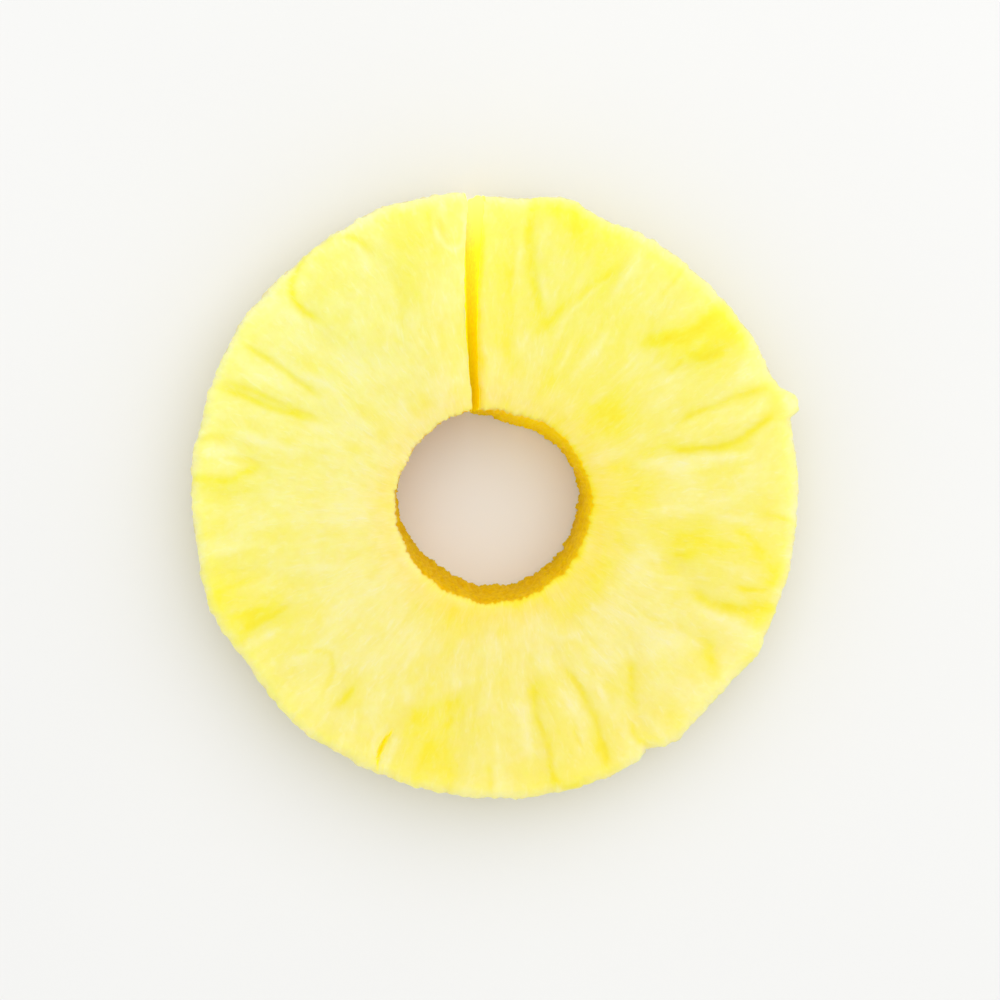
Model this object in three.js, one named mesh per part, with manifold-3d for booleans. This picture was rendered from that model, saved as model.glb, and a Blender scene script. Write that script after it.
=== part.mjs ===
// A pineapple ring: one slice of a peeled and cored pineapple, split by a cut from the rim to the core hole.
// Millimetres, +Z up. The slice lies flat on z = 0, centred on the Z axis, with the split towards +Y.
// Angles are degrees counterclockwise from +X, seen from above.

import * as THREE from "three";
import { mergeVertices } from "three/addons/utils/BufferGeometryUtils.js";
import Module from "manifold-3d";

// Driving dimensions of the slice.
const ringRadius = 44;
const thickness = 12.5;
const flesh = { color: 0xfbee82, roughness: 0.38, metalness: 0 };

// The core hole is off centre, narrows downwards and leans towards the split.
const holeTop = { x: -0.3, y: -1.3, radius: 14.2 };
const holeFoot = { x: -0.9, y: -0.2, radius: 13.4 };

// A swelling of the flesh pushes the hole's edge inwards beside the right lip.
const holeSwelling = { at: 78, out: -0.6, spread: 13 };

// The split's two lips: where each meets the rim and the hole, how far its face bows sideways, how far its
// foot lies sideways of its top edge at the hole and at the rim, and how much higher than the slice it stands.
const rightLip = { rimAngle: 92, holeAngle: 98.4, bow: -0.6, footAtHole: -0.8, footAtRim: -1.9, rise: -0.5 };
const leftLip = { rimAngle: 95.2, holeAngle: 102.4, bow: -0.8, footAtHole: -0.3, footAtRim: -0.3, rise: 1.5 };
const lipReach = 5;
const rightRiseReach = 1.1;
const leftRiseReach = 16;

// Bumps and dips that the peeling knife left along the rim: where, how far out, and over how many degrees.
const rimFeatures = [
  { at: 27, out: -0.3, spread: 5 },
  { at: 50, out: -0.5, spread: 9 },
  { at: 67, out: -0.8, spread: 5 },
  { at: 76, out: 0.4, spread: 2 },
  { at: 88, out: -0.9, spread: 5 },
  { at: 111, out: 0.6, spread: 7 },
  { at: 145, out: 0.35, spread: 13 },
  { at: 166, out: -0.5, spread: 1.6 },
  { at: 190, out: -0.35, spread: 3.5 },
  { at: 200, out: 0.35, spread: 5 },
  { at: 215, out: -0.6, spread: 5 },
  { at: 245, out: -0.35, spread: 7 },
  { at: 301, out: -1, spread: 1.4 },
  { at: 307, out: 0.4, spread: 2 },
  { at: 317, out: -0.35, spread: 5 },
  { at: 329, out: 0.8, spread: 1.7 },
];

// A shred of flesh sticks out of the rim, at the top only, and is this deep.
const shred = { at: 17, out: 2.5, spread: 1.8 };
const shredDepth = 3;

// To the left of the split the rim is a little wider at its foot.
const rimFlare = { at: 116, out: 0.5, spread: 34 };

// Small waves along the rim and round the hole: how many to a full turn, and how high.
const rimRipple = { count: 47, height: 0.15 };
const holeRipple = { count: 33, height: 0.18 };

// Rounded edges, and how far the rim's wall swells between them.
const rimRounding = 1.5;
const rimFootRounding = 1;
const holeRounding = 0.45;
const holeFootRounding = 0.6;
const rimBends = [35, 68];
const wallSwell = 0.35;
const wallSwellHeight = 0.4;

// The fruitlets that the slice cuts across. Each is an arch in the top face, pointing at the core, with sunken
// flesh along its outline: the angle and radius of its middle, its half length, its half width and its turn.
const fruitlets = [
  { at: 17.8, middle: 34.4, reach: 10.2, width: 3, turned: 3 },
  { at: 40, middle: 37.5, reach: 8, width: 4.8, turned: 0 },
  { at: 71.5, middle: 44, reach: 17.8, width: 7.7, turned: 4 },
  { at: 99.5, middle: 44, reach: 8.2, width: 2.2, turned: 0 },
  { at: 126.3, middle: 34.5, reach: 9, width: 6.6, turned: 0 },
  { at: 153.7, middle: 44, reach: 16.5, width: 2.9, turned: 0 },
  { at: 174, middle: 42, reach: 9, width: 3.8, turned: -12 },
  { at: 203, middle: 44, reach: 12, width: 5.5, turned: 0 },
  { at: 228, middle: 44, reach: 9.5, width: 5, turned: 0 },
  { at: 254.5, middle: 43, reach: 15, width: 5.8, turned: 0 },
  { at: 287, middle: 44, reach: 20.5, width: 4.8, turned: 0 },
  { at: 313, middle: 44, reach: 15, width: 8.2, turned: -10 },
  { at: 344.5, middle: 37, reach: 9.8, width: 7, turned: 0 },
];
const archPower = 1.7;
const seamDepth = 0.6;
const seamWidth = 0.95;
const crownRise = 0.3;
const seamFade = { from: 18, to: 28 };

// Long fibres stand as low ridges that run out from the core, and the whole face rises and falls slowly.
const faceRipples = [
  { count: 5, height: 0.22 },
  { count: 29, height: 0.15 },
  { count: 67, height: 0.1 },
];

// A deep crevice beside one fruitlet, open at the top: its two ends, how far it bows, its width and its depth.
const crevice = { from: [-14.6, -33.7], to: [-17.2, -39.7], bow: 0.7, width: 0.8, depth: 3 };

// How finely the slice is divided: cuts round it, extra cuts near each lip, and steps across the top face.
const stationCount = 212;
const lipSteps = [0.3, 0.75];
const topSteps = 12;

const radians = (degrees) => degrees * Math.PI / 180;
const blend = THREE.MathUtils.lerp;

// The turn from one angle to another, between -180 and 180 degrees.
const turnFrom = (at, angle) => THREE.MathUtils.euclideanModulo(angle - at + 180, 360) - 180;

const hump = (distance, spread) => Math.exp(-0.5 * (distance / spread) ** 2);
const featureAt = (angle, feature) => feature.out * hump(turnFrom(feature.at, angle), feature.spread);

// A repeatable random value between 0 and 1 for a whole number.
function randomAt(n) {
  const value = Math.sin(n * 127.1 + 11.7) * 43758.5453;
  return value - Math.floor(value);
}

// A ripple's height at an angle: smooth between random values, as many as it has waves in a full turn.
function rippleAt(angle, { count, height }) {
  const place = THREE.MathUtils.euclideanModulo(angle, 360) / 360 * count;
  const step = Math.floor(place);
  const ease = THREE.MathUtils.smoothstep(place - step, 0, 1);
  return height * (blend(randomAt(step + count), randomAt((step + 1) % count + count), ease) * 2 - 1);
}

const turned = (point, angle) => point.clone().rotateAround(new THREE.Vector2(), radians(angle));
const onCircle = (radius, angle) => turned(new THREE.Vector2(radius, 0), angle);

function rimPoint(angle) {
  const features = rimFeatures.reduce((sum, feature) => sum + featureAt(angle, feature), 0);
  return onCircle(ringRadius + features + rippleAt(angle, rimRipple), angle);
}

function holePoint(hole, angle) {
  const radius = hole.radius + featureAt(angle, holeSwelling) + rippleAt(angle, holeRipple);
  return onCircle(radius, angle).add(new THREE.Vector2(hole.x, hole.y));
}

// A fruitlet's relief at a point in plan: sunken along its outline and slightly raised within it.
function fruitletRelief(fruitlet, point) {
  const middle = onCircle(fruitlet.middle, fruitlet.at);
  const local = turned(point.clone().sub(middle), -fruitlet.at - fruitlet.turned);
  const along = Math.abs(local.x) / fruitlet.reach;
  const across = Math.abs(local.y) / fruitlet.width;
  const size = (along ** archPower + across ** archPower) ** (1 / archPower);
  const toSeam = (size - 1) * fruitlet.width;
  return crownRise * Math.max(0, 1 - size * size) - seamDepth * hump(toSeam, seamWidth);
}

// The relief of the top face at a point in plan.
function topRelief(point) {
  const radius = point.length();
  const angle = point.angle() / radians(1);
  const seams = fruitlets.reduce((sum, fruitlet) => sum + fruitletRelief(fruitlet, point), 0);
  const ripples = faceRipples.reduce((sum, ripple) => sum + rippleAt(angle, ripple), 0);
  return seams * THREE.MathUtils.smoothstep(radius, seamFade.from, seamFade.to) + ripples;
}

// How near a cut is to each lip, from 1 at the lip to 0 away from it, and how much the lips lift its top.
function lipSharesAt(rimAngle) {
  const fromRight = radians(rightLip.rimAngle - rimAngle) * ringRadius;
  const fromLeft = radians(rimAngle + 360 - leftLip.rimAngle) * ringRadius;
  const rise = rightLip.rise * hump(fromRight, rightRiseReach) + leftLip.rise * hump(fromLeft, leftRiseReach);
  return { right: hump(fromRight, lipReach), left: hump(fromLeft, lipReach), rise };
}

// Where the cuts stand, from 0 at the right lip clockwise to 1 at the left lip.
function stationShares() {
  const near = lipSteps.map((step) => step / stationCount);
  const even = Array.from({ length: stationCount - 1 }, (_, i) => (i + 1) / stationCount);
  return [0, ...near, ...even, ...near.map((share) => 1 - share).reverse(), 1];
}

// One upright cut through the flesh from the hole to the rim, as a closed loop of points. Each point also keeps
// its distance from the hole's top edge, measured outwards along the cut.
function sectionAt(share) {
  const rimAngle = blend(rightLip.rimAngle, leftLip.rimAngle - 360, share);
  const holeAngle = blend(rightLip.holeAngle, leftLip.holeAngle - 360, share);
  const rim = rimPoint(rimAngle);
  const edge = holePoint(holeTop, holeAngle);
  const foot = holePoint(holeFoot, holeAngle);
  const outward = rim.clone().sub(edge).normalize();
  const wallSpan = rim.distanceTo(edge);
  const span = wallSpan + featureAt(rimAngle, shred);
  const footSpan = wallSpan + featureAt(rimAngle, rimFlare);
  const lips = lipSharesAt(rimAngle);
  const points = [];

  const addAt = (plan, height) => {
    const distance = plan.clone().sub(edge).dot(outward);
    const reach = THREE.MathUtils.clamp(distance / wallSpan, 0, 1);
    const sunk = 1 - height / thickness;
    const bowed = (lip) => lip.bow * Math.sin(Math.PI * reach);
    const sideways = (lip) => bowed(lip) + sunk * blend(lip.footAtHole, lip.footAtRim, reach);
    const x = plan.x + lips.right * sideways(rightLip) + lips.left * sideways(leftLip);
    points.push({ distance, position: new THREE.Vector3(x, plan.y, height) });
  };
  const planAt = (distance) => edge.clone().addScaledVector(outward, distance);
  const add = (distance, height) => addAt(planAt(distance), height);
  const topAt = (distance) => thickness + lips.rise + topRelief(planAt(distance));

  for (let i = 0; i <= topSteps; i++) {
    const distance = blend(holeRounding, span - rimRounding, i / topSteps);
    add(distance, topAt(distance));
  }
  const shoulder = topAt(span - rimRounding);
  for (const bend of rimBends) {
    const [inwards, down] = [1 - Math.sin(radians(bend)), 1 - Math.cos(radians(bend))];
    add(span - rimRounding * inwards, shoulder - rimRounding * down);
  }
  add(span, shoulder - rimRounding);
  add(wallSpan + wallSwell, shoulder - shredDepth);
  add(blend(wallSpan, footSpan, 0.7) + wallSwell, thickness * wallSwellHeight);
  add(footSpan, rimFootRounding);
  add(footSpan - rimFootRounding, 0);
  addAt(foot.clone().addScaledVector(outward, holeFootRounding), 0);
  addAt(foot, holeFootRounding);
  addAt(foot.clone().lerp(edge, 0.5), thickness * 0.5);
  add(0, topAt(0) - holeRounding);
  return points;
}

// Joins the cuts into one closed surface, with a cap on each lip.
function sliceGeometry() {
  const sections = stationShares().map(sectionAt);
  const around = sections[0].length;
  const faces = [];
  for (let i = 0; i + 1 < sections.length; i++) {
    for (let j = 0; j < around; j++) {
      const next = (j + 1) % around;
      const [a, b, c, d] = [i * around + j, i * around + next, (i + 1) * around + next, (i + 1) * around + j];
      faces.push([a, c, b], [a, d, c]);
    }
  }
  const capOf = (index) => {
    const outline = sections[index].map((point) => new THREE.Vector2(point.distance, point.position.z));
    return THREE.ShapeUtils.triangulateShape(outline, []).map((face) => face.map((n) => index * around + n));
  };
  faces.push(...capOf(0).map(([a, b, c]) => [a, c, b]));
  faces.push(...capOf(sections.length - 1));
  const geometry = new THREE.BufferGeometry().setFromPoints(sections.flat().map((point) => point.position));
  geometry.setIndex(faces.flat());
  return geometry;
}

// The crevice's hollow: an upright crescent that starts inside the flesh and ends above it.
function creviceGeometry() {
  const from = new THREE.Vector2(...crevice.from);
  const to = new THREE.Vector2(...crevice.to);
  const sideways = new THREE.Vector2(to.y - from.y, from.x - to.x).normalize();
  const bowed = (amount) => from.clone().lerp(to, 0.5).addScaledVector(sideways, amount);
  const near = bowed(2 * crevice.bow - crevice.width);
  const far = bowed(2 * crevice.bow + crevice.width);
  const outline = new THREE.Shape();
  outline.moveTo(from.x, from.y);
  outline.quadraticCurveTo(near.x, near.y, to.x, to.y);
  outline.quadraticCurveTo(far.x, far.y, from.x, from.y);
  const depth = crevice.depth + 2;
  const geometry = new THREE.ExtrudeGeometry(outline, { depth, bevelEnabled: false, curveSegments: 6 });
  return geometry.translate(0, 0, thickness - crevice.depth);
}

const wasm = await Module();
wasm.setup();

function solidOf(geometry) {
  geometry.deleteAttribute("normal");
  geometry.deleteAttribute("uv");
  const merged = mergeVertices(geometry);
  const vertProperties = merged.attributes.position.array;
  const triVerts = new Uint32Array(merged.index.array);
  return new wasm.Manifold(new wasm.Mesh({ numProp: 3, vertProperties, triVerts }));
}

function geometryOf(solid) {
  const mesh = solid.getMesh();
  const geometry = new THREE.BufferGeometry();
  geometry.setAttribute("position", new THREE.BufferAttribute(new Float32Array(mesh.vertProperties), 3));
  geometry.setIndex(new THREE.BufferAttribute(new Uint32Array(mesh.triVerts), 1));
  return geometry;
}

const slice = solidOf(sliceGeometry()).subtract(solidOf(creviceGeometry()));
const geometry = geometryOf(slice);
geometry.computeBoundingBox();
const middle = geometry.boundingBox.getCenter(new THREE.Vector3());

const ring = new THREE.Mesh(geometry, new THREE.MeshStandardMaterial(flesh));
ring.name = "pineapple_ring";
ring.position.set(-middle.x, -middle.y, 0);

const pineappleRing = new THREE.Group();
pineappleRing.add(ring);

export default pineappleRing;
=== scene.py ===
# %% [markdown]
# # A pineapple ring
#
# A pineapple ring is one slice of a peeled pineapple, with its tough core cut out. This lesson models a
# ring that one cut splits from the rim to the core hole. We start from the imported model, which fixes where
# the ring lies and how large it may be. The frame is in metres, with the ring flat on z = 0 and the cut
# towards +Y.

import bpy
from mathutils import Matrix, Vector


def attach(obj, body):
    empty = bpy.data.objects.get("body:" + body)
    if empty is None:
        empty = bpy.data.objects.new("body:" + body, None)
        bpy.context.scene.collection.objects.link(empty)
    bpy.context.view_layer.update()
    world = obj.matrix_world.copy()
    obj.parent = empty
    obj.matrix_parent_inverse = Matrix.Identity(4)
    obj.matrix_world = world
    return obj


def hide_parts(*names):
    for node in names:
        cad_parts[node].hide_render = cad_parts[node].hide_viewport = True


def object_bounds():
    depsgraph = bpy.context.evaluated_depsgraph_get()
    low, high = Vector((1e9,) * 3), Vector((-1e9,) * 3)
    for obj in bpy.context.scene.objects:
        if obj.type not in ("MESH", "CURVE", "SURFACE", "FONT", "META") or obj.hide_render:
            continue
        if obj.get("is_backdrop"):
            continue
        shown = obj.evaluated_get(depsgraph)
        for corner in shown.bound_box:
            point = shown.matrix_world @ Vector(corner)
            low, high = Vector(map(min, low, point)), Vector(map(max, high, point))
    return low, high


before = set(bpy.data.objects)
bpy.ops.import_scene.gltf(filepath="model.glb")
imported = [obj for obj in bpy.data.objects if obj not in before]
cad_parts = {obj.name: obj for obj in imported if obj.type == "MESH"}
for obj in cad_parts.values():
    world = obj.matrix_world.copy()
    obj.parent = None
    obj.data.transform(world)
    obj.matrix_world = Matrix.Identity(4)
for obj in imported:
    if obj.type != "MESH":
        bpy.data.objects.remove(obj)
frame_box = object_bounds()
print("frame:", [round(v * 1000, 2) for corner in frame_box for v in corner], "mm")

# %% [markdown]
# We work in millimetres wherever we shape the flesh, because fruit is easier to judge that way, and give
# Blender metres. Angles are degrees counterclockwise from +X, seen from above. The values below are the
# ones that a cook could measure: how wide and thick the slice is, where the core hole sits at the top and
# at the foot, and where the two lips of the cut meet the rim and the hole.

# %% The slice's measured values
from math import cos, radians, sin

import bmesh
import bpy
import numpy as np
from mathutils import Matrix, Vector

MM = 0.001
same_place = 0.01      # mm: two points this close count as one place
ring_radius, thickness = 44.0, 12.5
hole_top = {"x": -0.3, "y": -1.3, "radius": 14.2}
hole_foot = {"x": -0.9, "y": -0.2, "radius": 13.4}
right_lip = {
    "rim": 92.0, "hole": 98.4, "bow": -0.6, "foot_at_hole": -0.8, "foot_at_rim": -2.4,
    "rise": -0.5, "rise_reach": 1.1,
}
left_lip = {
    "rim": 95.2, "hole": 102.4, "bow": -0.8, "foot_at_hole": -0.3, "foot_at_rim": -0.3,
    "rise": 1.5, "rise_reach": 16,
}
sweep = right_lip["rim"] - (left_lip["rim"] - 360)
print(f"slice: {2 * ring_radius:.0f} mm across, {thickness} mm thick, {sweep:.1f} degrees of flesh")

# %% [markdown]
# ## The blank: one outline, spun round the core
#
# A knife cuts a pineapple ring as a lathe would: the same upright outline all the way round. So we draw
# that outline once, as a plane that stands in the place of the right lip, and round its four corners. Its
# rim edge is the softest, because the peeling knife went over it, and the hole's edge is the sharpest. Then
# we keep only its edges, because the inside of the flesh never shows.

# %% Helpers that select by place, as a click would
def only(piece):
    """Makes this piece the only selected and active one."""
    if bpy.context.object and bpy.context.object.mode != "OBJECT":
        bpy.ops.object.mode_set(mode="OBJECT")
    bpy.ops.object.select_all(action="DESELECT")
    piece.select_set(True)
    bpy.context.view_layer.objects.active = piece


def select_where(kind, test):
    """In edit mode, selects the vertices, edges or faces whose corners all pass test(radius, height, co)."""
    bpy.ops.mesh.select_mode(type=kind)
    bpy.ops.mesh.select_all(action="DESELECT")
    shown = bmesh.from_edit_mesh(bpy.context.object.data)
    parts = {"VERT": shown.verts, "EDGE": shown.edges, "FACE": shown.faces}[kind]
    picked = 0
    for part in parts:
        corners = [part] if kind == "VERT" else part.verts
        if all(test(v.co.xy.length / MM, v.co.z / MM, v.co) for v in corners):
            part.select = True
            picked += 1
    shown.select_flush_mode()
    bmesh.update_edit_mesh(bpy.context.object.data)
    return picked


# %% Draw the outline of the flesh at the right lip
hole_radius = hole_top["radius"]
flesh_width = ring_radius - hole_radius
lip_way = Vector((cos(radians(right_lip["rim"])), sin(radians(right_lip["rim"])), 0))
middle = lip_way * (hole_radius + flesh_width / 2) * MM + Vector((0, 0, thickness / 2 * MM))

bpy.ops.object.select_all(action="DESELECT")
upright = (radians(90), 0, radians(right_lip["rim"]))
bpy.ops.mesh.primitive_plane_add(size=1, location=middle, rotation=upright)
ring_flesh = bpy.context.object
ring_flesh.name = ring_flesh.data.name = "ring_flesh"
bpy.ops.object.transform_apply(location=True, rotation=True, scale=True)
bpy.ops.object.mode_set(mode="EDIT")
bpy.ops.mesh.select_all(action="SELECT")
bpy.ops.transform.resize(value=(flesh_width * MM, flesh_width * MM, thickness * MM), center_override=middle)
corners = bmesh.from_edit_mesh(ring_flesh.data).verts
print("outline:", [tuple(round(place / MM, 1) for place in corner.co) for corner in corners], "mm")

# %% Round its corners, each by its own amount
rounded_corners = [      # name, radius, height, rounding in mm and steps
    ("rim, top", ring_radius, thickness, 1.5, 4),
    ("rim, foot", ring_radius, 0, 1.0, 2),
    ("hole, top", hole_radius, thickness, 0.45, 2),
    ("hole, foot", hole_radius, 0, 0.6, 2),
]
for name, radius, height, rounding, steps in rounded_corners:
    found = select_where("VERT", lambda r, z, co: max(abs(r - radius), abs(z - height)) < same_place)
    bpy.ops.mesh.bevel(offset=rounding * MM, segments=steps, affect="VERTICES")
    print(f"{name}: {found} corner rounded by {rounding} mm")
bpy.ops.mesh.select_mode(type="FACE")
bpy.ops.mesh.select_all(action="SELECT")
bpy.ops.mesh.delete(type="ONLY_FACE")

# %% [markdown]
# The fibres and seams will be real relief, so the edge that becomes the top face is divided most finely.
# The rim and the hole's wall get fewer divisions, and the flat underside only a few.

# %% Divide the outline where detail will come
divisions = [
    ("top", 77, lambda r, z, co: z > thickness - same_place),
    ("underside", 3, lambda r, z, co: z < same_place),
    ("rim", 9, lambda r, z, co: r > ring_radius - same_place),
    ("hole wall", 15, lambda r, z, co: r < hole_radius + same_place),
]
for name, cuts, test in divisions:
    found = select_where("EDGE", test)
    bpy.ops.mesh.subdivide(number_cuts=cuts)
    print(f"{name}: {found} edge divided into {cuts + 1}")

# %% Spin the outline clockwise, from the right lip round to the left lip
spin_steps = 800
bpy.ops.mesh.select_all(action="SELECT")
bpy.ops.mesh.spin(steps=spin_steps, angle=radians(sweep), center=(0, 0, 0), axis=(0, 0, 1))
print("spun blank:", len(bmesh.from_edit_mesh(ring_flesh.data).faces), "faces")

# %% [markdown]
# The spun wall is open at both lips. Each gets a face across its outline, and that face is inset twice, so
# that the lip has rows of points close to its edges, where its colour changes.

# %% Close both lips
lip_insets = (0.2, 0.2)
for name, angle in (("right lip", right_lip["rim"]), ("left lip", left_lip["rim"] - 360)):
    way = Vector((cos(radians(angle)), sin(radians(angle)), 0))
    bpy.ops.mesh.select_mode(type="EDGE")
    bpy.ops.mesh.select_all(action="DESELECT")
    bpy.ops.mesh.select_non_manifold(extend=False, use_wire=False, use_multi_face=False,
                                     use_non_contiguous=False, use_verts=False)
    shown = bmesh.from_edit_mesh(ring_flesh.data)
    for edge in shown.edges:
        if edge.select and any((v.co.xy.normalized() - way.xy).length > 0.002 for v in edge.verts):
            edge.select = False
    shown.select_flush_mode()
    bmesh.update_edit_mesh(ring_flesh.data)
    rim_edges = sum(edge.select for edge in shown.edges)
    bpy.ops.mesh.edge_face_add()
    for inset in lip_insets:
        bpy.ops.mesh.inset(thickness=inset * MM, depth=0)
    print(f"{name}: closed across {rim_edges} edges")
bpy.ops.mesh.select_all(action="SELECT")
bpy.ops.mesh.remove_doubles(threshold=1e-6)
bpy.ops.mesh.normals_make_consistent(inside=False)
bpy.ops.object.mode_set(mode="OBJECT")
print("blank:", len(ring_flesh.data.vertices), "vertices,", len(ring_flesh.data.polygons), "faces")

# %% [markdown]
# ## Read each point's place in the blank
#
# From here on, every point of the blank is moved by a rule, as a sculptor would press and pull the flesh. A
# rule needs to know three things about a point: how far round it lies from the right lip, how far out it
# lies from the hole to the rim, and how high it stands. The plain blank tells us all three.

# %% Each point's share of the way round, outwards and upwards
blank = np.empty(len(ring_flesh.data.vertices) * 3)
ring_flesh.data.vertices.foreach_get("co", blank)
blank = blank.reshape(-1, 3) / MM

around = np.mod(right_lip["rim"] - np.degrees(np.arctan2(blank[:, 1], blank[:, 0])), 360)
around = np.where(around > (sweep + 360) / 2, around - 360, around) / sweep
outward = (np.hypot(blank[:, 0], blank[:, 1]) - hole_radius) / flesh_width
upward = blank[:, 2] / thickness
tiny = 1e-4            # a share this small counts as none
print(f"around {around.min():.3f} to {around.max():.3f}, outward {outward.min():.3f} to {outward.max():.3f}")


def mix(a, b, share):
    """The value at this share of the way from a to b."""
    return a + (b - a) * share


def ease(value, start, end):
    """Rises smoothly from 0 at start to 1 at end."""
    t = np.clip((value - start) / (end - start), 0, 1)
    return t * t * (3 - 2 * t)


def hump(distance, spread):
    """A soft bump: 1 in its middle and nearly 0 from three spreads away."""
    return np.exp(-0.5 * (distance / spread) ** 2)


def turn_between(at, angle):
    """The turn from one angle to another, between -180 and 180 degrees."""
    return np.mod(angle - at + 180, 360) - 180


def on_face(angle, distance):
    """The place on the cut face at this angle and distance from the middle."""
    return np.array([distance * np.cos(np.radians(angle)), distance * np.sin(np.radians(angle))])


# %% [markdown]
# Flesh is never smooth, so we need waves that look random and still come out the same each time. A
# scrambling formula gives the waves round the ring, and one table of fixed random values gives the lumps.
# Both blend smoothly from one value to the next, and they are the grain of everything below.

# %% Repeatable waves and lumps
lump_table = np.random.default_rng(20).random((256, 256))
print("lump table:", lump_table.size, "values")


def wave(angle, count, height):
    """Random waves round the ring, this many to a full turn, in the same places as in the frame's solid."""
    place = np.mod(angle, 360) / 360 * count
    step = np.floor(place)

    def at(n):
        return np.mod(np.sin(n * 127.1 + 11.7) * 43758.5453, 1)

    blend = ease(place - step, 0, 1)
    return height * (mix(at(step + count), at(np.mod(step + 1, count) + count), blend) * 2 - 1)


def lumps(x, y, seed=0):
    """Random lumps one unit wide, between -1 and 1."""
    x, y = x + seed * 37.3, y + seed * 71.9
    i, j = np.floor(x).astype(int), np.floor(y).astype(int)
    s, t = ease(x - i, 0, 1), ease(y - j, 0, 1)

    def at(a, b):
        return lump_table[a & 255, b & 255]

    return 2 * mix(mix(at(i, j), at(i + 1, j), s), mix(at(i, j + 1), at(i + 1, j + 1), s), t) - 1


# %% [markdown]
# ## The outline of the rim and the hole
#
# The peeling knife left a rim that is nearly round. It has flats where a facet of peel came off, notches
# where an eye was cut away, and one shred of flesh that still sticks out. The corer left a rounder hole,
# slightly off centre, which narrows downwards, so that its wall shows from above on one side. Its edge is
# crumbly.

# %% Bumps and dips along the rim: where, how far out, and over how many degrees
rim_features = [
    (27, -0.3, 5), (50, -0.5, 9), (67, -0.8, 5), (76, 0.4, 2), (88, -0.9, 5), (111, 0.6, 7), (145, 0.35, 13),
    (166, -0.5, 1.6), (190, -0.35, 3.5), (200, 0.35, 5), (215, -0.6, 5), (245, -0.35, 7), (301, -1, 1.4),
    (307, 0.4, 2), (317, -0.35, 5), (329, 0.8, 1.7),
]
shred_of_flesh = {"from": 22, "tip": 18.2, "blunt": 16, "to": 14.4, "out": 2.2}
wide_foot = (116, 0.5, 34)
hole_swelling = (78, -0.6, 13)
hole_foot_swellings = [(66, -1.7, 24), (-125, -0.8, 24)]
print(len(rim_features), "features along the rim, and one shred")


def feature_at(angle, feature):
    """How far out a feature pushes the flesh at this angle."""
    at, out, spread = feature
    return out * hump(turn_between(at, angle), spread)


def crumbly(angle, sizes):
    """Crumbs of several sizes on a wall: degrees across, layers up the wall, height in mm and seed."""
    return sum(out * lumps(angle / across, upward * layers, seed) for across, layers, out, seed in sizes)


# %% Place the rim: features, waves, a swollen wall, the shred and a frayed edge
rim_waves, rim_wave_height, wall_swell, trimmed = 47, 0.15, 0.35, 0.16
rim_fraying = [(1.5, 4, 0.24, 1), (0.6, 9, 0.15, 2)]
rim_angle = mix(right_lip["rim"], left_lip["rim"] - 360, around)
rim = ring_radius - trimmed + sum(feature_at(rim_angle, feature) for feature in rim_features)
rim = rim + wave(rim_angle, rim_waves, rim_wave_height) + crumbly(rim_angle, rim_fraying)
rim = rim + wall_swell * (1 - (2 * upward - 1) ** 4)
rim = rim + feature_at(rim_angle, wide_foot) * (1 - upward)
shred_shape = 1 - ease(rim_angle, shred_of_flesh["tip"], shred_of_flesh["from"])
shred_shape = shred_shape * ease(rim_angle, shred_of_flesh["to"], shred_of_flesh["blunt"])
rim = rim + shred_of_flesh["out"] * shred_shape * ease(upward, 0.78, 0.95)
rim_xy = on_face(rim_angle, rim).T
print(f"rim: {rim.min():.1f} to {rim.max():.1f} mm from the middle")

# %% Place the hole: waves, a swelling beside the right lip, and crumbs all over its wall
hole_waves, hole_wave_height = 33, 0.18
hole_crumbs = [(3.6, 9, 0.16, 3), (1.7, 15, 0.17, 4), (0.95, 26, 0.15, 15)]
hole_angle = mix(right_lip["hole"], left_lip["hole"] - 360, around)
hole_middle = np.stack([mix(hole_foot[way], hole_top[way], upward) for way in ("x", "y")], 1)
hole = mix(hole_foot["radius"], hole_radius, upward) + feature_at(hole_angle, hole_swelling)
hole = hole + wave(hole_angle, hole_waves, hole_wave_height) + crumbly(hole_angle, hole_crumbs)
for at, out, spread in hole_foot_swellings:      # the first one is only on the right lip's side
    hole = hole + (1 - upward) * out * hump(hole_angle - at, spread)
print(f"hole: {hole.min():.1f} to {hole.max():.1f} mm from its own middle")
hole_xy = hole_middle + on_face(hole_angle, hole).T
plan = hole_xy + (rim_xy - hole_xy) * outward[:, None]

# %% [markdown]
# ## The lips of the cut
#
# The two lips of the cut don't match. The left one stands higher, with a crisp and slightly ragged edge
# that hangs over its face a little. The right one sags, and its face slopes under the left one, which is
# why the cut shows as a golden wedge.

# %% Lean, bow, fray and lift the flesh near the cut
lean_reach, raggedness, ragged_reach, overhang = 5, 0.15, 0.9, 0.3
from_right = np.radians(right_lip["rim"] - rim_angle) * ring_radius
from_left = np.radians(rim_angle + 360 - left_lip["rim"]) * ring_radius
for lip, away in ((right_lip, from_right), (left_lip, from_left)):
    bow = lip["bow"] * np.sin(np.pi * np.clip(outward, 0, 1))
    lean = (1 - upward) * mix(lip["foot_at_hole"], lip["foot_at_rim"], outward)
    plan[:, 0] += hump(away, lean_reach) * (bow + lean)
past_hole_edge = ease(outward, 0, 0.05)
ragged = lumps(outward * 26, upward * 7, 5) + 0.6 * lumps(outward * 60, upward * 14, 6)
ragged = ragged * (hump(from_left, ragged_reach) + 0.7 * hump(from_right, ragged_reach))
plan[:, 0] += raggedness * ragged * past_hole_edge
plan[:, 0] -= overhang * ease(1 - upward, 0.01, 0.06) * hump(from_left, 0.5) * past_hole_edge
lip_rise = right_lip["rise"] * hump(from_right, right_lip["rise_reach"])
lip_rise = lip_rise + left_lip["rise"] * hump(from_left, left_lip["rise_reach"])
print(f"lips: {lip_rise.max():.1f} mm up on the left, {-lip_rise.min():.1f} mm down on the right")

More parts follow.
